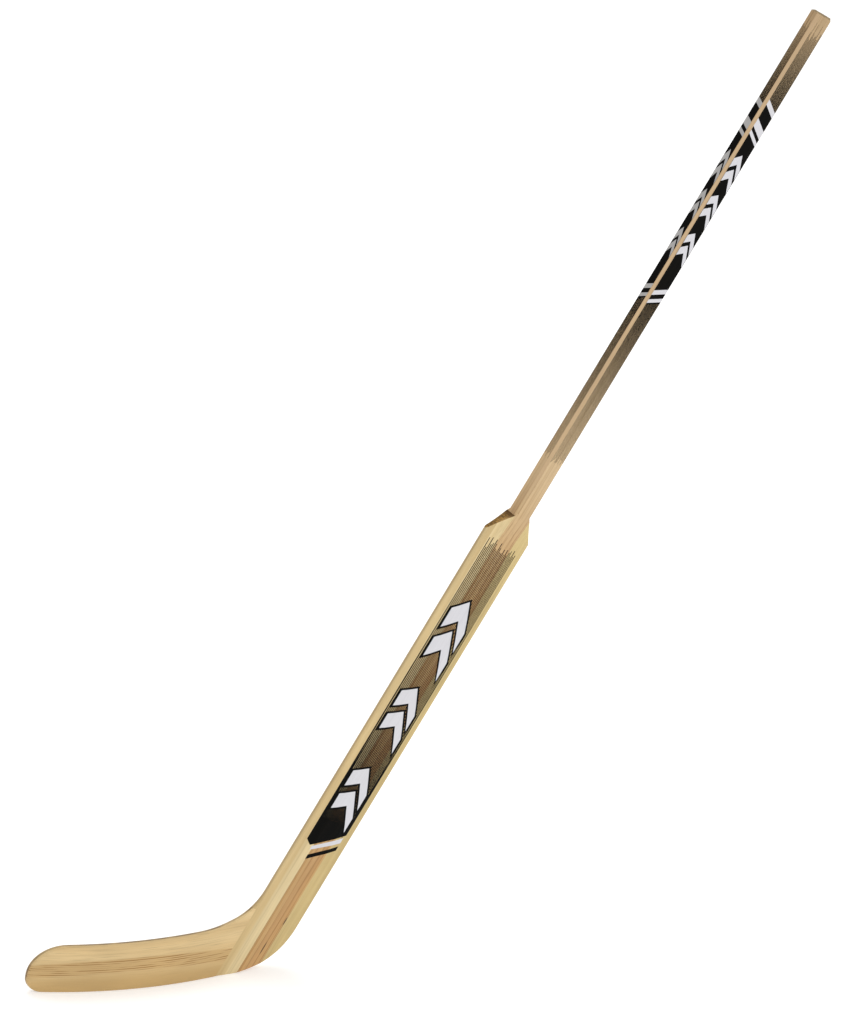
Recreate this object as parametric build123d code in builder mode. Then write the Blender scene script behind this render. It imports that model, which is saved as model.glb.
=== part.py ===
from build123d import *
import os
from math import cos, radians, sin, tan

# A wooden goalkeeper's ice hockey stick, in millimetres.
# The origin is where the blocker hand holds it: on the shaft's axis, just above the paddle's shoulder.
# +Z is up, the blade's sole lies level, the toe points to -X, and the blade's convex face looks to -Y.
# Along the stick, "along" is the distance from the origin towards the butt and "across" is the
# distance from the shaft's axis towards the toe side.

# --- driving dimensions ---------------------------------------------------------------------------
lie_angle = 62.0
paddle_length = 660.0
shaft_length = 779.0
grip_height = 50.0

shaft_width = 29.0
shaft_thickness = 20.0
shaft_chamfer = 3.7
butt_chamfer = 4.0
butt_chamfer_inwards = 2.2
chamfer_at_shoulder = 0.3
chamfer_run_out = 4.0

paddle_width = 84.0
paddle_thickness = 12.5
edge_thickness = 7.0
edge_round = 3.0
shoulder_length = 32.0
ramp_length = 38.0

centre_ply_width = 9.0
inner_ply_width = 7.0
outer_ply_width = (shaft_width - centre_ply_width - 2 * inner_ply_width) / 2
board_joint = 31.0

blade_thickness = 7.0
blade_height = 76.0
blade_toe_x = -673.5
toe_drop_angle = 1.0
sole_z = -686.5
blade_bend_radius = 625.0
blade_bend_angle = 27.0
toe_corner_low = 20.0
toe_corner_high = 50.0

heel_sweep_radius = 160.0
heel_sweep_angle = 20.0
heel_sweep_x = -392.0
throat_sweep_radius = 165.0
throat_sweep_angle = 20.0
throat_sweep_x = -443.0

tongue_depth = 24.0
tongue_thickness = 3.2
tongue_top = -702.0
blade_joint_top = -690.0

film_thickness = 0.2
paddle_film_width = 60.0
paddle_film_start = -612.0
paddle_film_end = -88.0
paddle_film_slant = 38.0
paddle_film_point = 10.0
shaft_film_start = 38.0
shaft_film_end = 718.0

# How far the blanks reach past the outline before it trims them.
below_heel = 120.0
clear = 60.0
blank_reach = 180.0

# --- derived places -------------------------------------------------------------------------------
heel_end = -(paddle_length + grip_height) - below_heel
shoulder_top = -grip_height
shoulder_start = shoulder_top - shoulder_length
ramp_start = shoulder_top - ramp_length
butt_end = shoulder_top + shaft_length
half_shaft = shaft_width / 2
half_paddle = paddle_width / 2
half_edge = edge_thickness / 2
flat_edge_from = half_paddle - half_edge
blade_top_z = sole_z + blade_height
toe_drop = radians(toe_drop_angle)

along_dir = Vector(cos(radians(lie_angle)), 0, sin(radians(lie_angle)))
across_dir = Vector(-sin(radians(lie_angle)), 0, cos(radians(lie_angle)))

# The stick's own plane, seen from its front: local x runs along it and local y across it.
stick_plane = Plane(origin=(0, 0, 0), x_dir=along_dir, z_dir=(0, -1, 0))


def section_at(along):
    """The plane square to the shaft: local x runs across the stick and local y towards its front."""
    return Plane(origin=along_dir * along, x_dir=across_dir, z_dir=along_dir)


def side_at(across):
    """The plane of a glue line: local x runs along the stick and local y through its thickness."""
    return Plane(origin=across_dir * across, x_dir=along_dir, z_dir=across_dir)


def across_of(point):
    """How far a point of the XZ outline lies across the stick."""
    return Vector(point.X, 0, point.Y).dot(across_dir)


def closing_radius(start, across, swept):
    """The radius that ends an arc on the line at this distance across, running along the stick."""
    return abs(across_of(start) - across) / (1 - cos(radians(lie_angle - swept)))


def outline_point(along, across):
    point = along_dir * along + across_dir * across
    return (point.X, point.Z)


def half_thickness_at(across, core_half):
    """Half the paddle's thickness on a board: it tapers from the core to the thin outer edge."""
    share = (across - half_shaft) / (flat_edge_from - half_shaft)
    return core_half + (half_edge - core_half) * min(share, 1.0)


# --- shared shapes that trim the pieces -------------------------------------------------------------
# The stick's outline: rounded heel, flat sole, rounded toe, level blade top and curved throat.
with BuildPart() as blank:
    with BuildSketch(Plane.XZ) as outline:
        with BuildLine():
            heel_sweep = JernArc((heel_sweep_x, sole_z), (1, 0), heel_sweep_radius, heel_sweep_angle)
            heel_radius = closing_radius(heel_sweep @ 1, -half_paddle, heel_sweep_angle)
            heel = JernArc(heel_sweep @ 1, heel_sweep % 1, heel_radius, lie_angle - heel_sweep_angle)
            heel_edge = Line(heel @ 1, outline_point(butt_end + clear, -half_paddle))
            butt = Line(heel_edge @ 1, outline_point(butt_end + clear, half_paddle))
            throat_start = (throat_sweep_x, blade_top_z)
            throat_sweep = JernArc(
                throat_start,
                (cos(toe_drop), sin(toe_drop)),
                throat_sweep_radius,
                throat_sweep_angle - toe_drop_angle,
            )
            throat_radius = closing_radius(throat_sweep @ 1, half_paddle, throat_sweep_angle)
            throat = JernArc(
                throat_sweep @ 1, throat_sweep % 1, throat_radius, lie_angle - throat_sweep_angle
            )
            toe_edge = Line(butt @ 1, throat @ 1)
            corner_x = blade_toe_x + toe_corner_high * (1 - sin(toe_drop))
            corner_z = blade_top_z - (throat_sweep_x - corner_x) * tan(toe_drop)
            blade_top = Line(throat_start, (corner_x, corner_z))
            toe_high = JernArc(blade_top @ 1, blade_top % 1, toe_corner_high, 90 - toe_drop_angle)
            toe_end = Line(toe_high @ 1, (blade_toe_x, sole_z + toe_corner_low))
            toe_low = JernArc(toe_end @ 1, (0, -1), toe_corner_low, 90)
            sole = Line(toe_low @ 1, heel_sweep @ 0)
        make_face()
    extrude(amount=2 * clear, both=True)

outline_wire = outline.sketch.wires()[0]
outline_tolerance = 0.02


def round_outline(piece):
    """Rounds the piece's long edges, front and back, wherever they lie on the stick's outline."""
    found = []
    for edge in piece.edges():
        middle = edge @ 0.5
        through_thickness = abs((edge % 0.5).Y) > sin(radians(30))
        off_outline = outline_wire.distance_to(Vertex(middle.X, 0, middle.Z))
        if not through_thickness and off_outline < outline_tolerance:
            found.append(edge)
    fillet(found, edge_round)


# The core's thickness: thin in the paddle, a short ramp, then the full shaft with its chamfers
# running out at the shoulder.
with BuildPart() as core_form:
    with BuildSketch(side_at(-half_shaft)):
        with BuildLine():
            Polyline(
                (heel_end, -paddle_thickness / 2),
                (ramp_start, -paddle_thickness / 2),
                (shoulder_top, -shaft_thickness / 2),
                (shoulder_top, shaft_thickness / 2),
                (ramp_start, paddle_thickness / 2),
                (heel_end, paddle_thickness / 2),
                close=True,
            )
        make_face()
    extrude(amount=shaft_width)
    run_out_end = shoulder_top + chamfer_run_out
    for along, corner in ((shoulder_top, chamfer_at_shoulder), (run_out_end, shaft_chamfer)):
        with BuildSketch(section_at(along)) as form_section:
            Rectangle(shaft_width, shaft_thickness)
            chamfer(form_section.vertices(), length=corner)
    loft(ruled=True)
    with BuildSketch(section_at(run_out_end)) as shaft_section:
        Rectangle(shaft_width, shaft_thickness)
        chamfer(shaft_section.vertices(), length=shaft_chamfer)
    extrude(amount=butt_end - run_out_end)
    butt_face = core_form.faces().sort_by(Axis((0, 0, 0), tuple(along_dir)))[-1]
    chamfer(butt_face.edges(), length=butt_chamfer, length2=butt_chamfer_inwards)


# --- core plies -------------------------------------------------------------------------------------
# Five plies glued side by side run from the butt to the sole, and carry the whole stick.
ply_layout = {
    "shaft_core_heel_side_outer_ply": outer_ply_width,
    "shaft_core_heel_side_inner_ply": inner_ply_width,
    "shaft_core_centre_ply": centre_ply_width,
    "shaft_core_toe_side_inner_ply": inner_ply_width,
    "shaft_core_toe_side_outer_ply": outer_ply_width,
}

os.makedirs("parts", exist_ok=True)


def save(piece, name):
    piece.part.label = name
    export_step(piece.part, f"parts/{name}.step")


ply_edge = -half_shaft
for ply_name, ply_width in ply_layout.items():
    with BuildPart() as core_ply:
        with BuildSketch(side_at(ply_edge)):
            with Locations(((heel_end + butt_end) / 2, 0)):
                Rectangle(butt_end - heel_end + clear, shaft_thickness + clear)
        extrude(amount=ply_width)
        add(core_form.part, mode=Mode.INTERSECT)
        add(blank.part, mode=Mode.INTERSECT)
        round_outline(core_ply)
    save(core_ply, ply_name)
    ply_edge += ply_width


# --- paddle boards ----------------------------------------------------------------------------------
def lens_section(inner, outer, side, core_half):
    """Half the paddle's lens shape, between two distances across on one side of the stick."""
    breaks = [inner, *[x for x in (flat_edge_from,) if inner < x < outer], outer]
    front = [(side * x, half_thickness_at(x, core_half)) for x in breaks]
    back = [(x, -thickness) for x, thickness in reversed(front)]
    Polygon(*front, *back, align=None)


def board_blank(inner, outer, side):
    """A board before its joints are cut: level up to the ramp, then thickening with the core."""
    with BuildPart() as board:
        with BuildSketch(section_at(heel_end)):
            lens_section(inner, outer, side, paddle_thickness / 2)
        extrude(amount=ramp_start - heel_end)
        for along, core_half in ((ramp_start, paddle_thickness / 2), (shoulder_top, shaft_thickness / 2)):
            with BuildSketch(section_at(along)):
                lens_section(inner, outer, side, core_half)
        loft(ruled=True)
        add(blank.part, mode=Mode.INTERSECT)
        with BuildSketch(stick_plane):
            with BuildLine():
                Polyline(
                    (shoulder_start, side * half_paddle),
                    (shoulder_top, side * half_shaft),
                    (shoulder_top + clear, side * half_shaft),
                    (shoulder_top + clear, side * (half_paddle + clear)),
                    (shoulder_start, side * (half_paddle + clear)),
                    close=True,
                )
            make_face()
        extrude(amount=clear, both=True, mode=Mode.SUBTRACT)
    return board


# The heel-side board ends in the rounded heel.
heel_side_form = board_blank(half_shaft, half_paddle, -1)
with BuildPart() as heel_side_board:
    add(heel_side_form.part)
    round_outline(heel_side_board)
save(heel_side_board, "heel_side_paddle_board")

# The tongue of the blade sits in a slot through both toe-side boards, open at the sole.
with BuildPart() as tongue_form:
    with BuildSketch(stick_plane):
        with BuildLine():
            Polyline(
                (heel_end, half_paddle - tongue_depth),
                (tongue_top, half_paddle - tongue_depth),
                (tongue_top, half_paddle),
                (heel_end, half_paddle),
                close=True,
            )
        make_face()
    extrude(amount=tongue_thickness / 2, both=True)
    add(blank.part, mode=Mode.INTERSECT)

inner_form = board_blank(half_shaft, board_joint, 1)
with BuildPart() as toe_side_inner_board:
    add(inner_form.part)
    round_outline(toe_side_inner_board)
    add(tongue_form.part, mode=Mode.SUBTRACT)
save(toe_side_inner_board, "toe_side_inner_paddle_board")

# The outer board also fills the tip of the throat, where the blade would run out to nothing.
outer_form = board_blank(board_joint, half_paddle + tongue_depth, 1)
with BuildPart() as toe_side_outer_board:
    add(outer_form.part)
    with BuildSketch(stick_plane):
        with BuildLine():
            Polyline(
                (heel_end, half_paddle),
                (blade_joint_top, half_paddle),
                (blade_joint_top, half_paddle + clear),
                (heel_end, half_paddle + clear),
                close=True,
            )
        make_face()
    extrude(amount=clear, both=True, mode=Mode.SUBTRACT)
    round_outline(toe_side_outer_board)
    add(tongue_form.part, mode=Mode.SUBTRACT)
save(toe_side_outer_board, "toe_side_outer_paddle_board")

# --- blade ------------------------------------------------------------------------------------------
# One board, bent to the back from the joint to the toe, with the tongue that enters the paddle.
bend_start_x = outline_point(0, 0)[0] + (sole_z * cos(radians(lie_angle)) - half_paddle) / sin(
    radians(lie_angle)
)
with BuildPart() as blade:
    with BuildSketch(Plane.XY.offset(sole_z - clear)):
        with BuildLine():
            straight = Line((bend_start_x + blank_reach, 0), (bend_start_x, 0))
            JernArc(straight @ 1, (-1, 0), blade_bend_radius, -blade_bend_angle)
        trace(line_width=blade_thickness)
    extrude(amount=blade_height + blank_reach)
    add(blank.part, mode=Mode.INTERSECT)
    with BuildSketch(stick_plane):
        with BuildLine():
            Polyline(
                (heel_end - blank_reach, half_paddle),
                (blade_joint_top, half_paddle),
                (blade_joint_top, half_paddle + 2 * blank_reach),
                (heel_end - blank_reach, half_paddle + 2 * blank_reach),
                close=True,
            )
        make_face()
    extrude(amount=2 * clear, both=True, mode=Mode.INTERSECT)
    add(tongue_form.part)
save(blade, "blade")

# --- printed films ----------------------------------------------------------------------------------
# Thin films carry the print: one on each face of the paddle, cut to a slanted lower end and following
# the core and both tapered boards, and one on each of the shaft's four faces between the chamfers.
film_half = paddle_film_width / 2
film_breaks = [-film_half, -half_shaft, half_shaft, film_half]
core_half = paddle_thickness / 2
wood_line = [(x, half_thickness_at(max(abs(x), half_shaft), core_half)) for x in film_breaks]
film_line = [(across, height + film_thickness) for across, height in reversed(wood_line)]
for film_name, side in (("paddle_front_film", 1), ("paddle_back_film", -1)):
    with BuildPart() as paddle_film:
        with BuildSketch(section_at(paddle_film_start)):
            Polygon(*[(across, side * height) for across, height in wood_line + film_line], align=None)
        extrude(amount=paddle_film_end - paddle_film_start)
        with BuildSketch(stick_plane):
            Polygon(
                (paddle_film_start, film_half - paddle_film_point),
                (paddle_film_start + paddle_film_slant, -film_half),
                (paddle_film_start, -film_half),
                align=None,
            )
            Polygon(
                (paddle_film_start, film_half - paddle_film_point),
                (paddle_film_start + paddle_film_point, film_half),
                (paddle_film_start, film_half),
                align=None,
            )
        extrude(amount=clear, both=True, mode=Mode.SUBTRACT)
    save(paddle_film, film_name)

wide_film = shaft_width - 2 * shaft_chamfer
narrow_film = shaft_thickness - 2 * shaft_chamfer
shaft_films = {
    "shaft_front_film": (0, shaft_thickness / 2, wide_film, film_thickness),
    "shaft_back_film": (0, -shaft_thickness / 2, wide_film, film_thickness),
    "shaft_toe_side_film": (half_shaft, 0, film_thickness, narrow_film),
    "shaft_heel_side_film": (-half_shaft, 0, film_thickness, narrow_film),
}
for film_name, (across, height, film_wide, film_deep) in shaft_films.items():
    lift = film_thickness / 2
    centre = (
        across + lift * (across > 0) - lift * (across < 0),
        height + lift * (height > 0) - lift * (height < 0),
    )
    with BuildPart() as shaft_film:
        with BuildSketch(section_at(shaft_film_start)):
            with Locations(centre):
                Rectangle(film_wide, film_deep)
        extrude(amount=shaft_film_end - shaft_film_start)
    save(shaft_film, film_name)
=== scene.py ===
import math
import random

import bmesh
import bpy
from mathutils import Matrix, Vector


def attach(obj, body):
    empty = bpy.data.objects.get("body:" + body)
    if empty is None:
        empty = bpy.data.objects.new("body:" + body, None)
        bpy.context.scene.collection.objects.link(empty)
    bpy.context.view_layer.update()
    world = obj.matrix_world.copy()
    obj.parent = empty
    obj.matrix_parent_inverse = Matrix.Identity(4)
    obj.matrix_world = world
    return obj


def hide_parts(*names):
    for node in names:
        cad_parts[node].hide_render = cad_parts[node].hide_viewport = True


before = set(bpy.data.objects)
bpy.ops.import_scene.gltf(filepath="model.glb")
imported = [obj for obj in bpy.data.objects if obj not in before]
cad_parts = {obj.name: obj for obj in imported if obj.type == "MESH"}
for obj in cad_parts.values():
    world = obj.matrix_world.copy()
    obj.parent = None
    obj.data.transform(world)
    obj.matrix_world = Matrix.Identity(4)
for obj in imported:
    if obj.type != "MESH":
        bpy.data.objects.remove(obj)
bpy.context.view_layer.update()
rng = random.Random(7)

# --- the stick's main sizes, in metres ----------------------------------------------------------------
MM = 0.001
LIE_DEGREES = 62.0
LIE = math.radians(LIE_DEGREES)
SHAFT_HALF_WIDTH = 14.5 * MM
SHAFT_HALF_THICKNESS = 10.0 * MM
PADDLE_HALF_THICKNESS = 6.25 * MM
SOLE_Z = -686.5 * MM

# The paddle thins from the core's edge to this distance across, and is this thick from there outwards.
FLAT_EDGE_FROM = 38.5 * MM
EDGE_HALF_THICKNESS = 3.5 * MM

# The blade meets the paddle along this line, which ends at this distance along the stick.
JOINT_ACROSS = 42 * MM
JOINT_TOP = -690 * MM

ALONG = Vector((math.cos(LIE), 0, math.sin(LIE)))
ACROSS = Vector((-math.sin(LIE), 0, math.cos(LIE)))
FRONT = Vector((0, -1, 0))


def at(along, across, out=0.0):
    """A point given along the stick, across it towards the toe side, and out of its front."""
    return ALONG * along + ACROSS * across + FRONT * out


# --- the blade's bend ---------------------------------------------------------------------------------
BEND_RADIUS = 625 * MM
BEND_START_X = (SOLE_Z * math.cos(LIE) - JOINT_ACROSS) / math.sin(LIE)

# --- camera -------------------------------------------------------------------------------------------
CAMERA_AT = Vector((-3.4757, -4.5705, 2.7578))
CAMERA_AIM = Vector((-0.17446, 0.0, -0.01503))
CAMERA_ROLL = math.radians(8.425)
CAMERA_LENS = 167.43

camera_data = bpy.data.cameras.new("camera")
camera_data.lens = CAMERA_LENS
camera_data.sensor_width = 36.0
camera_data.clip_end = 60.0
camera = bpy.data.objects.new("camera", camera_data)
bpy.context.scene.collection.objects.link(camera)
look = (CAMERA_AIM - CAMERA_AT).to_track_quat("-Z", "Y").to_matrix().to_4x4()
camera.matrix_world = Matrix.Translation(CAMERA_AT) @ look @ Matrix.Rotation(CAMERA_ROLL, 4, "Z")
bpy.context.scene.camera = camera
bpy.context.scene.view_settings.view_transform = "Standard"


# --- material tools -----------------------------------------------------------------------------------
def srgb(red, green, blue):
    """A colour picked as 0-255 values, as the linear colour that the shader wants."""
    shares = [c / 255 for c in (red, green, blue)]
    linear = [((c + 0.055) / 1.055) ** 2.4 if c > 10 / 255 else c / 12.92 for c in shares]
    return (*linear, 1.0)


class Nodes:
    """A small hand for wiring one material's nodes."""

    def __init__(self, name):
        self.material = bpy.data.materials.new(name)
        self.material.use_nodes = True
        self.tree = self.material.node_tree
        self.shader = self.tree.nodes["Principled BSDF"]

    def add(self, kind, values=None, **settings):
        made = self.tree.nodes.new(kind)
        for key, value in settings.items():
            setattr(made, key, value)
        for socket, value in (values or {}).items():
            self.put(made.inputs[socket], value)
        return made

    def put(self, socket, value):
        if isinstance(value, bpy.types.NodeSocket):
            self.tree.links.new(value, socket)
        else:
            socket.default_value = value

    def math(self, operation, *values):
        made = self.add("ShaderNodeMath", dict(enumerate(values)), operation=operation)
        return made.outputs[0]

    def dot(self, vector, direction):
        made = self.add("ShaderNodeVectorMath", {0: vector, 1: direction}, operation="DOT_PRODUCT")
        return made.outputs["Value"]

    def stretch(self, vector, scale, shift):
        scaled = self.add("ShaderNodeVectorMath", {0: vector, 1: scale, 2: shift}, operation="MULTIPLY_ADD")
        return scaled.outputs[0]

    def noise(self, vector, detail=2.0, distortion=0.0):
        values = {"Vector": vector, "Scale": 1.0, "Detail": detail, "Distortion": distortion}
        return self.add("ShaderNodeTexNoise", values).outputs["Fac"]

    def ramp(self, value, low, high, to_low=0.0, to_high=1.0):
        made = self.add(
            "ShaderNodeMapRange",
            {"Value": value, "From Min": low, "From Max": high, "To Min": to_low, "To Max": to_high},
            interpolation_type="SMOOTHSTEP",
        )
        return made.outputs[0]

    def mix(self, factor, first, second, blend="MIX"):
        made = self.add("ShaderNodeMix", data_type="RGBA", blend_type=blend)
        self.put(made.inputs[0], factor)
        self.put(made.inputs[6], first)
        self.put(made.inputs[7], second)
        return made.outputs[2]

    def bump(self, height, strength, distance):
        made = self.add("ShaderNodeBump", {"Height": height, "Strength": strength, "Distance": distance})
        return made.outputs[0]


def unbent(n, place):
    """Takes the blade's bend out of a place, so that the grain follows the bent board."""
    parts = n.add("ShaderNodeSeparateXYZ", {0: place})
    reach = n.math("MAXIMUM", n.math("SUBTRACT", BEND_START_X, parts.outputs[0]), 0.0)
    drop = n.math("SUBTRACT", BEND_RADIUS ** 2, n.math("MULTIPLY", reach, reach))
    depth = n.math("SUBTRACT", parts.outputs[1], n.math("SUBTRACT", BEND_RADIUS, n.math("SQRT", drop)))
    joined = n.add("ShaderNodeCombineXYZ", {0: parts.outputs[0], 1: depth, 2: parts.outputs[2]})
    return joined.outputs[0]


# The grain's noises: how many times each repeats in a metre along, through and across the board.
FIGURE_SCALE = (2.4, 70, 70)
RING_SCALE = (2.2, 330, 330)
FIBRE_SCALE = (26, 1500, 1500)
BLOTCH_SCALE = (9, 26, 26)
BROKEN_LINE_SCALE = (22, 420, 420)
PATCH_SCALE = (11, 90, 90)
SAWN_SCALE = (420, 260, 900)
STREAK_SCALE = (12, 700, 700)
RUB_SCALE = (160, 420, 420)
RIM_PATCH_SCALE = (30, 30, 30)
WANDER_SCALE = (6.0, 0, 0)
WOBBLE_SCALE = (14, 0, 0)

# Tones that every board shares, and how much darker its rings, pores and sawn fibres are than its own.
BUTT_TONE = (172, 145, 108)
# Painted shade that tones the shaft's chamfers darker than its faces.
CHAMFER_SHADE_TONE = (198, 168, 130)
KNOT_TONE = (52, 30, 14)
JOINT_TONE = (144, 90, 44)
# Painted light on the end grain towards the front face.
SAWN_FRONT_LIGHT_TONE = (196, 158, 104)
# Painted shadow that darkens the end grain in the crease where the shoulder meets the shaft.
CREASE_SHADOW_TONE = (62, 38, 12)
# Painted shade on faces turned towards the toe side.
TOE_EDGE_SHADE_TONE = (128, 106, 86)
# Darkening on the blade's edges that turn away from the front.
RIM_TONE = (92, 70, 44)
RING_SHADE, PORE_SHADE, SAWN_SHADE = 0.8, 0.62, 0.6

# The blade's band of dark growth rings arches along the board; its fine lines repeat at this pitch.
BAND_TOP_X = -530 * MM
BAND_ARCH = 0.4
BAND_WANDER = 5 * MM
BAND_FADE = 22 * MM
BAND_LINE_TURNS = math.tau / (3.2 * MM)
JOINT_WOBBLE = 1.6 * MM


def shaded(tone, share):
    return srgb(*[c * share for c in tone])


def growth_band(n, colour, grain, along, across, shift, band):
    """Darkens the wood below an arching band, and draws the band's fine broken lines."""
    low, high, tone, below, line_tone = band
    wander = n.noise(n.stretch(grain, WANDER_SCALE, shift), 2.0)
    centre = n.math("ADD", across, n.math("MULTIPLY", n.math("SUBTRACT", wander, 0.5), BAND_WANDER))
    reach = n.math("SUBTRACT", along, BAND_TOP_X)
    centre = n.math("ADD", centre, n.math("MULTIPLY", n.math("MULTIPLY", reach, reach), BAND_ARCH))
    colour = n.mix(n.ramp(centre, high, low - BAND_FADE, 0.0, 0.85), colour, srgb(*below))
    above_low = n.ramp(centre, low - 4 * MM, low + MM)
    inside = n.math("MULTIPLY", above_low, n.ramp(centre, high + MM, high - MM))
    colour = n.mix(n.math("MULTIPLY", inside, 0.8), colour, srgb(*tone))
    turns = n.math("ADD", n.math("MULTIPLY", across, BAND_LINE_TURNS), n.math("MULTIPLY", wander, 2.0))
    lines = n.ramp(n.math("SINE", turns), 0.1, 0.9)
    broken = n.ramp(n.noise(n.stretch(grain, BROKEN_LINE_SCALE, shift), 3.0), 0.4, 0.6)
    drawn = n.math("MULTIPLY", n.math("MULTIPLY", lines, broken), inside)
    return n.mix(drawn, colour, srgb(*line_tone))


def glue_lines(n, colour, grain, along, across, shift, joints):
    """Draws each joint as a faint wobbling line that fades out up the shaft."""
    fade = n.ramp(along, -160 * MM, 20 * MM, 1.0, 0.25)
    for where, half, strength in joints:
        unsteady = n.noise(n.stretch(grain, WOBBLE_SCALE, shift), 3.0)
        wobble = n.math("MULTIPLY", n.math("SUBTRACT", unsteady, 0.5), JOINT_WOBBLE)
        away = n.math("ABSOLUTE", n.math("SUBTRACT", n.math("ADD", across, wobble), where))
        line = n.ramp(away, half, half * 0.3, 0.0, strength)
        patchy = n.ramp(n.noise(n.stretch(grain, PATCH_SCALE, shift), 2.0), 0.3, 0.65, 0.3, 1.0)
        share = n.math("MULTIPLY", n.math("MULTIPLY", line, fade), patchy)
        colour = n.mix(share, colour, srgb(*JOINT_TONE))
    return colour


def knots(n, colour, along, across, marks):
    """Draws small dark ellipses, given by their centres and half sizes."""
    for mark_along, mark_across, half_long, half_wide in marks:
        by_length = n.math("DIVIDE", n.math("SUBTRACT", along, mark_along), half_long)
        by_width = n.math("DIVIDE", n.math("SUBTRACT", across, mark_across), half_wide)
        squared = n.math("MULTIPLY", by_length, by_length)
        reach = n.math("ADD", squared, n.math("MULTIPLY", by_width, by_width))
        colour = n.mix(n.ramp(reach, 1.0, 0.2, 0.0, 0.85), colour, srgb(*KNOT_TONE))
    return colour


def wood(name, turn, pale, deep, seed, ring=0.35, pores=0.25, coat=0.2, joints=(), marks=(), band=None,
         end_grain=None, shaft_pale=None, toe_edge_shade=0.0, bend=False, rim=0.0):
    """Lacquered wood whose grain runs along the direction that lies at this angle above +X."""
    n = Nodes(name)
    place = n.add("ShaderNodeTexCoord").outputs["Object"]
    if bend:
        place = unbent(n, place)
    grain = n.add("ShaderNodeMapping", {"Vector": place, "Rotation": (0, turn, 0)}).outputs[0]
    parts = n.add("ShaderNodeSeparateXYZ", {0: grain})
    along, depth, across = parts.outputs
    shift = (seed * 3.7, seed * 1.9, seed * 5.3)

    figure = n.ramp(n.noise(n.stretch(grain, FIGURE_SCALE, shift), 3.0), 0.3, 0.7)
    rings = n.ramp(n.noise(n.stretch(grain, RING_SCALE, shift), 3.0, 0.15), 0.5, 0.7)
    fibres = n.noise(n.stretch(grain, FIBRE_SCALE, shift), 2.0)
    pore = n.ramp(fibres, 0.52, 0.75)
    blotch = n.ramp(n.noise(n.stretch(grain, BLOTCH_SCALE, shift), 2.0), 0.25, 0.75, 0.93, 1.06)

    colour = n.mix(figure, srgb(*pale), srgb(*deep))
    if shaft_pale:
        rise = n.ramp(along, -200 * MM, 40 * MM)
        colour = n.mix(rise, colour, srgb(*shaft_pale))
        colour = n.mix(n.ramp(along, 600 * MM, 720 * MM, 0.0, 0.8), colour, srgb(*BUTT_TONE))
    colour = n.mix(n.math("MULTIPLY", rings, ring), colour, shaded(deep, RING_SHADE))
    colour = n.mix(n.math("MULTIPLY", pore, pores), colour, shaded(deep, PORE_SHADE))
    if band:
        colour = growth_band(n, colour, grain, along, across, shift, band)
    colour = glue_lines(n, colour, grain, along, across, shift, joints)
    colour = knots(n, colour, along, across, marks)

    facing = n.add("ShaderNodeNewGeometry").outputs["Normal"]
    if shaft_pale:
        facing_front = n.math("ABSOLUTE", n.dot(facing, tuple(FRONT)))
        # Painted shade: the shaft's chamfers, between its front or back and its sides, are toned darker.
        chamfer_shade = n.math("MULTIPLY", n.ramp(facing_front, 0.35, 0.6), n.ramp(facing_front, 0.93, 0.82))
        chamfer_shade = n.math("MULTIPLY", chamfer_shade, n.ramp(along, -40 * MM, 30 * MM, 0.0, 0.75))
        colour = n.mix(chamfer_shade, colour, srgb(*CHAMFER_SHADE_TONE))
    if end_grain:
        cut = n.ramp(n.dot(facing, tuple(ALONG)), 0.3, 0.45)
        if shaft_pale:
            cut = n.math("MULTIPLY", cut, n.ramp(along, 600 * MM, 700 * MM))
        sawn = n.ramp(n.noise(n.stretch(grain, SAWN_SCALE, shift), 3.0), 0.35, 0.65)
        sawn_tone = n.mix(sawn, srgb(*end_grain), shaded(end_grain, SAWN_SHADE))
        if not shaft_pale:
            # Painted light: the end grain is lighter towards the front face.
            front_light_share = n.ramp(depth, -8 * MM, -1 * MM, 0.55, 0.0)
            sawn_tone = n.mix(front_light_share, sawn_tone, srgb(*SAWN_FRONT_LIGHT_TONE))
            # Painted shadow: the end grain darkens towards the crease at the top of the shoulder.
            crease_shadow = n.ramp(along, -60 * MM, -51 * MM, 0.0, 0.8)
            sawn_tone = n.mix(crease_shadow, sawn_tone, srgb(*CREASE_SHADOW_TONE))
        colour = n.mix(cut, colour, sawn_tone)
    # Painted shade: faces turned towards the toe side are darkened.
    if toe_edge_shade:
        side = n.ramp(n.dot(facing, tuple(ACROSS)), 0.75, 0.98, 0.0, toe_edge_shade)
        colour = n.mix(side, colour, srgb(*TOE_EDGE_SHADE_TONE))
    # Darkens the blade's edges that turn away from the front, in uneven patches.
    if rim:
        turned = n.math("ABSOLUTE", n.dot(facing, tuple(FRONT)))
        uneven = n.ramp(n.noise(n.stretch(grain, RIM_PATCH_SCALE, shift), 2.0), 0.35, 0.6, 0.45, 1.0)
        rim_share = n.math("MULTIPLY", n.ramp(turned, 0.5, 0.12, 0.0, rim), uneven)
        colour = n.mix(rim_share, colour, srgb(*RIM_TONE))
    blotches = n.add("ShaderNodeCombineColor", {0: blotch, 1: blotch, 2: blotch}).outputs[0]
    colour = n.mix(1.0, colour, blotches, "MULTIPLY")

    n.put(n.shader.inputs["Base Color"], colour)
    rough = n.ramp(fibres, 0.3, 0.7, 0.42, 0.58)
    if end_grain:
        rough = n.math("ADD", rough, n.math("MULTIPLY", cut, 0.4))
    n.put(n.shader.inputs["Roughness"], rough)
    height = n.math("ADD", n.math("MULTIPLY", fibres, 0.6), n.math("MULTIPLY", rings, 0.4))
    n.put(n.shader.inputs["Normal"], n.bump(height, 0.25, 0.2 * MM))
    n.shader.inputs["Coat Weight"].default_value = coat
    n.shader.inputs["Coat Roughness"].default_value = 0.22
    n.shader.inputs["Specular IOR Level"].default_value = 0.25
    return n.material


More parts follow.
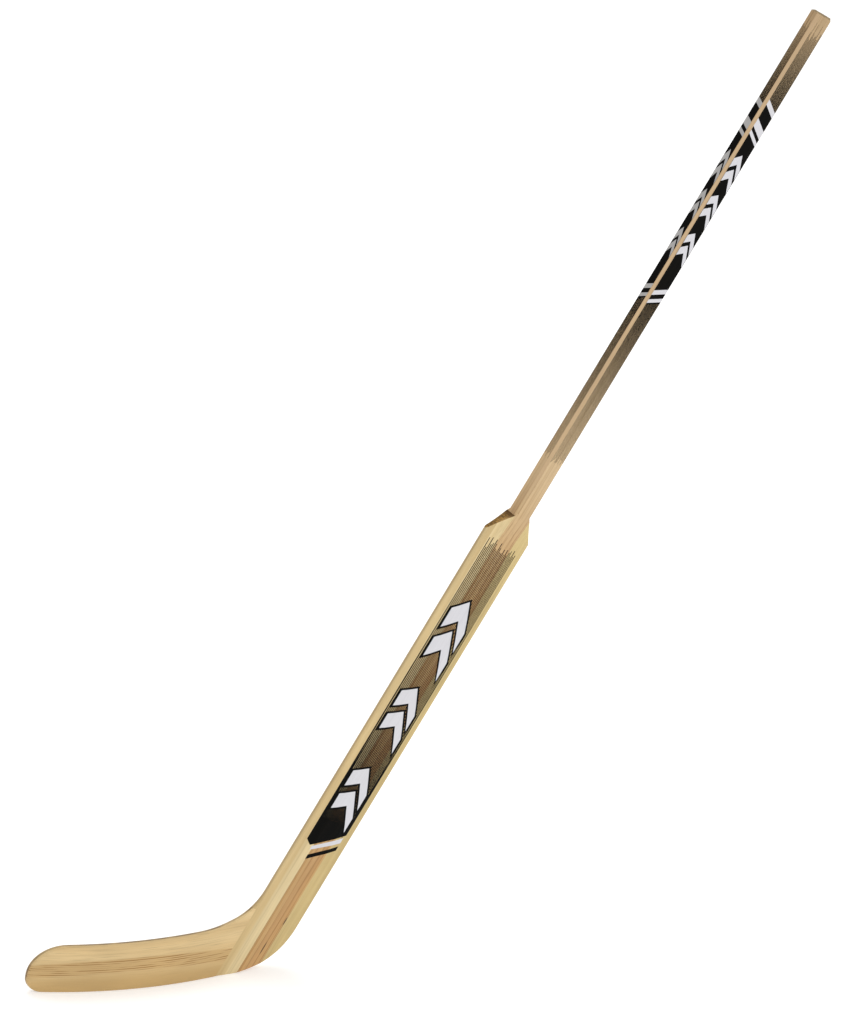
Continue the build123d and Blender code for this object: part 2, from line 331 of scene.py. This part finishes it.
def ink(name, tone, uneven, seed):
    """Printed ink under the lacquer: nearly even, with faint streaks and rubbed specks."""
    n = Nodes(name)
    place = n.add("ShaderNodeTexCoord").outputs["Object"]
    grain = n.add("ShaderNodeMapping", {"Vector": place, "Rotation": (0, LIE, 0)}).outputs[0]
    shift = (seed, seed * 2.3, seed * 0.7)
    streaks = n.noise(n.stretch(grain, STREAK_SCALE, shift), 3.0)
    rubs = n.ramp(n.noise(n.stretch(grain, RUB_SCALE, shift), 3.0), 0.66, 0.78, 0.0, 0.5)
    colour = n.mix(n.ramp(streaks, 0.35, 0.75, 0.0, 0.35), srgb(*tone), srgb(*uneven))
    colour = n.mix(rubs, colour, srgb(*uneven))
    n.put(n.shader.inputs["Base Color"], colour)
    n.put(n.shader.inputs["Roughness"], n.ramp(streaks, 0.3, 0.7, 0.4, 0.55))
    n.put(n.shader.inputs["Normal"], n.bump(streaks, 0.15, 0.1 * MM))
    n.shader.inputs["Specular IOR Level"].default_value = 0.03
    return n.material


# --- wood ---------------------------------------------------------------------------------------------
def paint(node_name, material):
    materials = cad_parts[node_name].data.materials
    materials.clear()
    materials.append(material)


PLY_SEED, BOARD_SEED, BLADE_SEED = 1.0, 11.0, 21.0
PLY_EDGES = [-14.5 * MM, -11.5 * MM, -4.5 * MM, 4.5 * MM, 11.5 * MM, 14.5 * MM]
GLUE_LINE_HALF = 1.1 * MM
HEEL_KNOTS = [(-738 * MM, -4.4 * MM, 13 * MM, 1.3 * MM), (-692 * MM, -13.4 * MM, 8 * MM, 1.2 * MM)]
PLY_TONES = {
    "shaft_core_heel_side_outer_ply": ((192, 154, 98), (176, 134, 80)),
    "shaft_core_heel_side_inner_ply": ((197, 157, 101), (181, 137, 84)),
    "shaft_core_centre_ply": ((202, 163, 108), (186, 144, 92)),
    "shaft_core_toe_side_inner_ply": ((202, 165, 110), (186, 144, 90)),
    "shaft_core_toe_side_outer_ply": ((188, 151, 96), (172, 130, 78)),
}
for index, (node_name, (pale, deep)) in enumerate(PLY_TONES.items()):
    low, high = PLY_EDGES[index], PLY_EDGES[index + 1]
    ply_wood = wood(
        node_name + "_wood", LIE, pale, deep, index + PLY_SEED, ring=0.55, pores=0.22,
        joints=[(low, GLUE_LINE_HALF, 0.6), (high, GLUE_LINE_HALF, 0.6)], marks=HEEL_KNOTS,
        end_grain=(170, 146, 108), shaft_pale=(204, 177, 136),
    )
    paint(node_name, ply_wood)

# Each board's pale and deep tone, and the strength of painted shade on its faces turned towards the toe
# side.
BOARDS = {
    "heel_side_paddle_board": ((205, 183, 128), (192, 168, 114), 0.0),
    "toe_side_inner_paddle_board": ((219, 198, 152), (206, 181, 132), 0.0),
    "toe_side_outer_paddle_board": ((211, 188, 140), (199, 172, 122), 0.35),
}
for index, (node_name, (pale, deep, toe_edge_shade_share)) in enumerate(BOARDS.items()):
    board_wood = wood(
        node_name + "_wood", LIE, pale, deep, index + BOARD_SEED, ring=0.25, pores=0.18, coat=0.0,
        end_grain=(158, 120, 62), toe_edge_shade=toe_edge_shade_share,
    )
    paint(node_name, board_wood)

blade_wood = wood(
    "blade_wood", 0.0, (217, 190, 140), (208, 178, 126), BLADE_SEED, ring=0.2, pores=0.4,
    band=(-655 * MM, -637 * MM, (192, 158, 104), (186, 152, 96), (140, 100, 46)), bend=True, rim=0.8,
)

# --- blade --------------------------------------------------------------------------------------------
BLADE_HALF = 3.5 * MM
BLADE_TOP_Z = SOLE_Z + 76 * MM
TOE_X = -673.5 * MM
TOE_DROP = 1.0
TOE_HIGH_RADIUS = 50 * MM
TOE_LOW_RADIUS = 20 * MM
THROAT_X = -443 * MM
THROAT_RADIUS = 165 * MM
THROAT_SWEEP = 20.0
EDGE_ROUND = 2.9 * MM
ROUND_STEPS = 5
COLUMN_STEP = 6 * MM
LAST_COLUMN_X = -352 * MM
MERGE_DISTANCE = 0.02 * MM
SAME_POINT = 0.01 * MM

# The tongue inside the paddle: its upper and lower ends along the stick, and its sides across it.
TONGUE_TOP = -702 * MM
TONGUE_FOOT_OUTER, TONGUE_FOOT_INNER = -799.4 * MM, -786.4 * MM
TONGUE_OUTER, TONGUE_INNER = 42.8 * MM, 18 * MM
TONGUE_HALF_THICKNESS = 1.59 * MM
FLAT_FACE_WEIGHT = 80


def arc(centre, radius, start, end, count):
    """Points of an arc in the blade's flat outline, from one angle to another in degrees."""
    angles = [math.radians(start + (end - start) * i / count) for i in range(count + 1)]
    return [Vector((centre[0] + radius * math.cos(t), centre[1] + radius * math.sin(t))) for t in angles]


def flat(vector):
    return Vector((vector.x, vector.z))


def across_of(point):
    return Vector((point[0], 0, point[1])).dot(ACROSS)


def along_of(point):
    return Vector((point[0], 0, point[1])).dot(ALONG)


def blade_outline():
    """The free edge from the top of the paddle joint round the toe to the bottom of the joint."""
    drop = math.radians(TOE_DROP)
    throat_centre = (
        THROAT_X - THROAT_RADIUS * math.sin(drop),
        BLADE_TOP_Z + THROAT_RADIUS * math.cos(drop),
    )
    throat = arc(throat_centre, THROAT_RADIUS, -90 + TOE_DROP, -90 + THROAT_SWEEP, 10)

    turn = math.radians(THROAT_SWEEP)
    radius = abs(across_of(throat[-1]) - JOINT_ACROSS) / (1 - math.cos(LIE - turn))
    centre = throat[-1] + Vector((-math.sin(turn), math.cos(turn))) * radius
    upper = arc(centre, radius, -90 + THROAT_SWEEP, -90 + LIE_DEGREES, 24)[1:]
    upper = [p for p in upper if along_of(p) < JOINT_TOP]
    step = (upper[-1] - upper[-2]).normalized()
    cut = upper[-1] + step * ((JOINT_TOP - along_of(upper[-1])) / step.dot(flat(ALONG)))

    corner_x = TOE_X + TOE_HIGH_RADIUS * (1 - math.sin(drop))
    corner_z = BLADE_TOP_Z - (THROAT_X - corner_x) * math.tan(drop)
    high_centre = (TOE_X + TOE_HIGH_RADIUS, corner_z - TOE_HIGH_RADIUS * math.cos(drop))
    low_centre = (TOE_X + TOE_LOW_RADIUS, SOLE_Z + TOE_LOW_RADIUS)
    toe_high = arc(high_centre, TOE_HIGH_RADIUS, 180, 90 + TOE_DROP, 14)
    toe_low = arc(low_centre, TOE_LOW_RADIUS, 270, 180, 12)

    joint_along = (SOLE_Z - JOINT_ACROSS * math.cos(LIE)) / math.sin(LIE)
    loop = [flat(at(joint_along, JOINT_ACROSS))] + toe_low + toe_high + throat + upper
    if (cut - upper[-1]).length > SAME_POINT:
        loop.append(cut)
    if abs(across_of(cut) - JOINT_ACROSS) > SAME_POINT:
        loop.append(flat(at(JOINT_TOP, JOINT_ACROSS)))
    return loop


def bent(point):
    """Bends the flat blade to the back, keeping each point's own X."""
    x, y, z = point
    if x >= BEND_START_X:
        return Vector(point)
    radius = BEND_RADIUS - y
    sine = (BEND_START_X - x) / radius
    return Vector((x, BEND_RADIUS - radius * math.sqrt(1 - sine * sine), z))


def new_piece(name, mesh_data, materials, slot_name, *replaced):
    for material in materials:
        mesh_data.materials.append(material)
    piece = bpy.data.objects.new(name, mesh_data)
    bpy.context.scene.collection.objects.link(piece)
    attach(piece, "root")
    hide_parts(*replaced)
    return piece


def prism(mesh, outline, low, high):
    """Adds a closed prism on points of the XZ plane, between two depths."""
    front = [mesh.verts.new((p[0], low, p[1])) for p in outline]
    back = [mesh.verts.new((p[0], high, p[1])) for p in outline]
    mesh.faces.new(front)
    mesh.faces.new(back[::-1])
    for i in range(len(outline)):
        j = (i + 1) % len(outline)
        mesh.faces.new((front[j], front[i], back[i], back[j]))


def inset(outline, amount):
    """The blade's outline moved inwards at its free edge, while its joint with the paddle stays put."""
    moved = []
    last = len(outline) - 1
    for i, here in enumerate(outline):
        if i == 0:
            moved.append(here + flat(ALONG) * (amount / math.sin(LIE)))
        elif i == last:
            moved.append(here)
        elif i == last - 1:
            moved.append(here - flat(ACROSS) * amount)
        else:
            tangent = (outline[i + 1] - outline[i - 1]).normalized()
            moved.append(here + Vector((tangent.y, -tangent.x)) * amount)
    return moved


def edge_profile():
    """The blade's rounded edge: how far in from the outline it lies at each depth, front to back."""
    half = []
    for step in range(ROUND_STEPS + 1):
        turn = math.radians(90 * step / ROUND_STEPS)
        depth = BLADE_HALF - EDGE_ROUND + EDGE_ROUND * math.cos(turn)
        half.append((EDGE_ROUND * (1 - math.sin(turn)), depth))
    return [(inward, -depth) for inward, depth in half] + half[::-1]


outline = blade_outline()
blade_mesh = bmesh.new()
loops = []
for inward, depth in edge_profile():
    loops.append([blade_mesh.verts.new((p[0], depth, p[1])) for p in inset(outline, inward)])
for lower, upper in zip(loops, loops[1:]):
    for i in range(len(outline)):
        j = (i + 1) % len(outline)
        blade_mesh.faces.new((lower[i], lower[j], upper[j], upper[i]))
blade_mesh.faces.new(loops[0][::-1])
blade_mesh.faces.new(loops[-1])
column = TOE_X + COLUMN_STEP
while column < LAST_COLUMN_X:
    parts = blade_mesh.verts[:] + blade_mesh.edges[:] + blade_mesh.faces[:]
    bmesh.ops.bisect_plane(blade_mesh, geom=parts, plane_co=(column, 0, 0), plane_no=(1, 0, 0))
    column += COLUMN_STEP
bmesh.ops.remove_doubles(blade_mesh, verts=blade_mesh.verts[:], dist=MERGE_DISTANCE)
bmesh.ops.dissolve_degenerate(blade_mesh, edges=blade_mesh.edges[:], dist=MERGE_DISTANCE)
for vertex in blade_mesh.verts:
    vertex.co = bent(vertex.co)
tongue = [
    flat(at(TONGUE_FOOT_INNER, TONGUE_INNER)), flat(at(TONGUE_FOOT_OUTER, TONGUE_OUTER)),
    flat(at(TONGUE_TOP, TONGUE_OUTER)), flat(at(TONGUE_TOP, TONGUE_INNER)),
]
prism(blade_mesh, tongue, -TONGUE_HALF_THICKNESS, TONGUE_HALF_THICKNESS)
bmesh.ops.recalc_face_normals(blade_mesh, faces=blade_mesh.faces[:])
blade_data = bpy.data.meshes.new("ash_blade")
blade_mesh.to_mesh(blade_data)
blade_mesh.free()
for polygon in blade_data.polygons:
    polygon.use_smooth = True
blade = new_piece("ash_blade", blade_data, [blade_wood], "blade_ash", "blade")
weights = blade.modifiers.new("even_shading", "WEIGHTED_NORMAL")
weights.weight = FLAT_FACE_WEIGHT

# --- print --------------------------------------------------------------------------------------------
BLACK, WHITE, GREY = 0, 1, 2
inks = [
    ink("black_ink", (9, 9, 8), (26, 23, 18), 1.0),
    ink("white_ink", (212, 211, 215), (196, 195, 199), 2.0),
    ink("grey_ink", (176, 174, 172), (150, 146, 142), 3.0),
]
UNDER, OVER, TOP = 0.04 * MM, 0.07 * MM, 0.10 * MM
SHARPEST_MITRE = 0.35

# Distances along the stick and sizes that are marked "in mm" go through mm() or are multiplied by MM.
PADDLE_PRINT_HALF = 30  # in mm
PADDLE_PRINT_FOOT = -536  # in mm
PADDLE_LINE_COUNT = 23
PADDLE_LINE_ENDS = (-106, -89)  # in mm
PADDLE_EMBLEMS = ((-533, 86), (-405, 86), (-289, 108))  # where each starts and its size, in mm
PADDLE_EMBLEM_HALF = 22.5 * MM
PADDLE_EMBLEM_LEAN = 0.6
PADDLE_EMBLEM_BORDER = 3.0 * MM

SHAFT_LINE_PITCH = 1.55 * MM
SHAFT_LINE_STARTS, SHAFT_LINE_ENDS = (36, 48), (690, 716)  # in mm
SHAFT_BLOCK_FOOT, SHAFT_BLOCK_HEAD = 286.5 * MM, 583.5 * MM
SHAFT_RISE_END, SHAFT_FALL_START = 287 * MM, 583 * MM
SHAFT_LOW_BARS = ((289, 5.5), (301.5, 7))  # where each starts and its width, in mm
SHAFT_EMBLEMS = ((353, 44), (412, 44), (467, 50))  # where each starts and its size, in mm
SHAFT_HIGH_BARS = ((540, 5.5), (551, 12), (583.5, 8))  # where each starts and its width, in mm


def paddle_height(across):
    """Half the paddle's thickness at this distance across: level on the core, then tapering."""
    share = (abs(across) - SHAFT_HALF_WIDTH) / (FLAT_EDGE_FROM - SHAFT_HALF_WIDTH)
    return PADDLE_HALF_THICKNESS - max(0.0, share) * (PADDLE_HALF_THICKNESS - EDGE_HALF_THICKNESS)


def grown(shape, amount):
    """The same outline moved outwards by this much on every side."""
    area = sum(p[0] * q[1] - q[0] * p[1] for p, q in zip(shape, shape[1:] + shape[:1]))
    sign = 1 if area > 0 else -1
    result = []
    for i, here in enumerate(shape):
        before, after = Vector(shape[i - 1]), Vector(shape[(i + 1) % len(shape)])
        here = Vector(here)
        first, second = (here - before).normalized(), (after - here).normalized()
        first_out = Vector((first.y, -first.x)) * sign
        second_out = Vector((second.y, -second.x)) * sign
        mitre = (first_out + second_out).normalized()
        result.append(tuple(here + mitre * amount / max(SHARPEST_MITRE, mitre.dot(first_out))))
    return result


def print_piece(name, shapes, place, folds, node_name):
    """Ink shapes given flat as (tone, lift, outline), laid on a face as thin closed solids."""
    mesh = bmesh.new()
    for tone, lift, shape in shapes:
        patch = bmesh.new()
        patch.faces.new([patch.verts.new((p[0], p[1], 0)) for p in shape])
        for fold in folds:
            parts = patch.verts[:] + patch.edges[:] + patch.faces[:]
            bmesh.ops.bisect_plane(patch, geom=parts, plane_co=(0, fold, 0), plane_no=(0, 1, 0))
        made = bmesh.ops.extrude_face_region(patch, geom=patch.faces[:])
        for vertex in [v for v in made["geom"] if isinstance(v, bmesh.types.BMVert)]:
            vertex.co.z = lift
        for vertex in patch.verts:
            vertex.co = place(vertex.co.x, vertex.co.y, vertex.co.z)
        bmesh.ops.recalc_face_normals(patch, faces=patch.faces[:])
        for face in patch.faces:
            face.material_index = tone
        flat_data = bpy.data.meshes.new("patch")
        patch.to_mesh(flat_data)
        patch.free()
        mesh.from_mesh(flat_data)
        bpy.data.meshes.remove(flat_data)
    data = bpy.data.meshes.new(name)
    mesh.to_mesh(data)
    mesh.free()
    return new_piece(name, data, inks, "printed_film", node_name)


def leaning(lean, points):
    return [(a + lean * w, w) for a, w in points]


def bar(start, width, half, lean):
    return leaning(lean, [(start, -half), (start + width, -half), (start + width, half), (start, half)])


def chevron(start, width, point, half, lean):
    return leaning(lean, [
        (start, -half), (start + width, -half), (start + width + point, 0),
        (start + width, half), (start, half), (start + point, 0),
    ])


def emblem(start, size, half, lean):
    """Two arrowheads, one behind the other: a plain pattern that stands where the lettering was."""
    return [
        chevron(start, size * 0.27, size * 0.28, half, lean),
        chevron(start + size * 0.42, size * 0.28, size * 0.28, half, lean),
    ]


def stripes(count, half, stations, starts, ends):
    """Fine lines side by side; stations give (distance along, share of the pitch that is inked)."""
    pitch = 2 * half / count
    shapes = []
    for i in range(count):
        middle = -half + pitch * (i + 0.5)
        start, end = starts(i, middle), ends(i, middle)
        inner = [(a, share) for a, share in stations if start + MM < a < end - MM]
        line = [(start, share_at(stations, start))] + inner + [(end, share_at(stations, end))]
        upper = [(a, middle + pitch * share / 2) for a, share in line]
        lower = [(a, middle - pitch * share / 2) for a, share in reversed(line)]
        shapes.append((BLACK, UNDER, lower[::-1] + upper[::-1]))
    return shapes


def share_at(stations, along):
    for (a0, s0), (a1, s1) in zip(stations, stations[1:]):
        if along <= a1:
            return s0 + (s1 - s0) * max(0.0, along - a0) / (a1 - a0)
    return stations[-1][1]


def mm(points):
    return [(a * MM, b * MM) for a, b in points]


def paddle_shapes():
    side, foot = PADDLE_PRINT_HALF, PADDLE_PRINT_FOOT
    shapes = [
        (BLACK, UNDER, mm([(-599, 15.1), (-592, 15.1), (-567, -27.5), (-574, -27.5)])),
        (WHITE, UNDER, mm([(-584.6, 16.8), (-578.6, 16.8), (-553.6, -27.5), (-562, -27.5)])),
        (BLACK, OVER, mm([(-578.2, 20.7), (-571.5, side), (foot, side), (foot, -side), (-549, -side)])),
    ]
    stations = [
        (foot * MM, 0.98), (-500 * MM, 0.91), (-430 * MM, 0.77),
        (-300 * MM, 0.6), (-150 * MM, 0.5), (-60 * MM, 0.46),
    ]
    ends = [rng.uniform(*PADDLE_LINE_ENDS) * MM for _ in range(PADDLE_LINE_COUNT)]
    first = (foot - 0.5) * MM
    shapes += stripes(PADDLE_LINE_COUNT, side * MM, stations, lambda i, w: first, lambda i, w: ends[i])
    for sign in (-1, 1):
        shapes.append((BLACK, OVER, mm([
            (-537, sign * side), (-300, sign * side), (-160, sign * 29.2), (-160, sign * 28.6),
            (-300, sign * 28.4), (-537, sign * 26.5),
        ])))
    for start, size in PADDLE_EMBLEMS:
        for shape in emblem(start * MM, size * MM, PADDLE_EMBLEM_HALF, PADDLE_EMBLEM_LEAN):
            shapes.append((BLACK, OVER, grown(shape, PADDLE_EMBLEM_BORDER)))
            shapes.append((WHITE, TOP, shape))
    return shapes


def shaft_shapes(half, light, lean_up, lean_down, seed):
    """The shaft's print: fine lines that darken into a black block, then fade again near the butt."""
    dice = random.Random(seed)
    count = max(6, round(2 * half / SHAFT_LINE_PITCH))
    ragged = [dice.uniform(*SHAFT_LINE_STARTS) * MM for _ in range(count)]
    frayed = [dice.uniform(*SHAFT_LINE_ENDS) * MM for _ in range(count)]
    rise = [(36 * MM, 0.27), (90 * MM, 0.38), (180 * MM, 0.66), (250 * MM, 0.83), (290 * MM, 0.9)]
    fall = [
        (575 * MM, 0.9), (610 * MM, 0.8), (634 * MM, 0.73),
        (661 * MM, 0.6), (690 * MM, 0.42), (716 * MM, 0.2),
    ]
    shapes = stripes(count, half, rise, lambda i, w: ragged[i], lambda i, w: SHAFT_RISE_END + lean_up * w)
    shapes += stripes(
        count, half, fall, lambda i, w: SHAFT_FALL_START + lean_down * w, lambda i, w: frayed[i]
    )
    shapes.append((BLACK, OVER, [
        (SHAFT_BLOCK_FOOT - lean_up * half, -half), (SHAFT_BLOCK_FOOT + lean_up * half, half),
        (SHAFT_BLOCK_HEAD + lean_down * half, half), (SHAFT_BLOCK_HEAD - lean_down * half, -half),
    ]))
    for start, width in SHAFT_LOW_BARS:
        shapes.append((light, TOP, bar(start * MM, width * MM, half, lean_up)))
    for start, size in SHAFT_EMBLEMS:
        for shape in emblem(start * MM, size * MM, half * 0.96, lean_down):
            shapes.append((light, TOP, shape))
    for start, width in SHAFT_HIGH_BARS:
        shapes.append((light, TOP, bar(start * MM, width * MM, half, lean_down)))
    return shapes


for side, word in ((1, "front"), (-1, "back")):
    print_piece(
        f"paddle_{word}_print", paddle_shapes(),
        lambda a, b, h, s=side: at(a, b, s * (paddle_height(b) + h)),
        (-SHAFT_HALF_WIDTH, SHAFT_HALF_WIDTH), f"paddle_{word}_film",
    )

# Each face's half width of print, its light ink, how far its bars lean at the foot and the head of the
# block, the seed of its ragged ends, and the face itself.
WIDE_HALF, NARROW_HALF = 10.8 * MM, 6.3 * MM
SHAFT_FACES = {
    "shaft_front": (WIDE_HALF, WHITE, 0.42, -0.6, 31, lambda a, w, h: at(a, -w, SHAFT_HALF_THICKNESS + h)),
    "shaft_back": (WIDE_HALF, WHITE, 0.42, -0.6, 32, lambda a, w, h: at(a, w, -SHAFT_HALF_THICKNESS - h)),
    "shaft_toe_side": (NARROW_HALF, GREY, 0.5, -0.4, 33, lambda a, w, h: at(a, SHAFT_HALF_WIDTH + h, w)),
    "shaft_heel_side": (NARROW_HALF, GREY, 0.5, -0.4, 34, lambda a, w, h: at(a, -SHAFT_HALF_WIDTH - h, -w)),
}
for word, (half, light, lean_up, lean_down, seed, place) in SHAFT_FACES.items():
    shapes = shaft_shapes(half, light, lean_up, lean_down, seed)
    print_piece(f"{word}_print", shapes, place, (), f"{word}_film")

# --- floor and light ----------------------------------------------------------------------------------
FLOOR_RADIUS = 22.0
FLOOR_COLOUR = (0.9, 0.9, 0.9, 1)
FLOOR_GLOW = 0.3
WORLD_STRENGTH = 0.6

floor_nodes = Nodes("pale_floor")
floor_place = floor_nodes.add("ShaderNodeTexCoord").outputs["Object"]
floor_grain = floor_nodes.noise(floor_nodes.stretch(floor_place, (90, 90, 90), (0, 0, 0)), 2.0)
floor_nodes.put(floor_nodes.shader.inputs["Roughness"], floor_nodes.ramp(floor_grain, 0.3, 0.7, 0.85, 0.95))
floor_nodes.shader.inputs["Base Color"].default_value = FLOOR_COLOUR
floor_nodes.shader.inputs["Specular IOR Level"].default_value = 0.1
floor_nodes.shader.inputs["Emission Color"].default_value = (1, 1, 1, 1)
floor_nodes.shader.inputs["Emission Strength"].default_value = FLOOR_GLOW
floor_mesh = bmesh.new()
bmesh.ops.create_circle(floor_mesh, cap_ends=True, segments=96, radius=FLOOR_RADIUS)
floor_data = bpy.data.meshes.new("floor")
floor_mesh.to_mesh(floor_data)
floor_mesh.free()
floor_data.materials.append(floor_nodes.material)
floor = bpy.data.objects.new("floor", floor_data)
floor.location = (0, 0, SOLE_Z)
bpy.context.scene.collection.objects.link(floor)


def softbox(name, where, aim, size, power):
    data = bpy.data.lights.new(name, "AREA")
    data.shape = "DISK"
    data.size = size
    data.energy = power
    lamp = bpy.data.objects.new(name, data)
    lamp.location = where
    lamp.rotation_euler = (Vector(aim) - Vector(where)).to_track_quat("-Z", "Y").to_euler()
    bpy.context.scene.collection.objects.link(lamp)


softbox("key_light", (1.6, -5.0, 3.6), (0, 0, 0), 3.0, 105)
softbox("top_light", (0.5, 2.5, 5.5), (0, 0, 0), 5.0, 160)
softbox("fill_light", (-3.6, -3.7, 2.6), (0, 0, 0), 1.6, 14)

world = bpy.data.worlds.new("studio")
world.use_nodes = True
background = world.node_tree.nodes["Background"]
background.inputs["Color"].default_value = (1.0, 1.0, 1.0, 1)
background.inputs["Strength"].default_value = WORLD_STRENGTH
bpy.context.scene.world = world
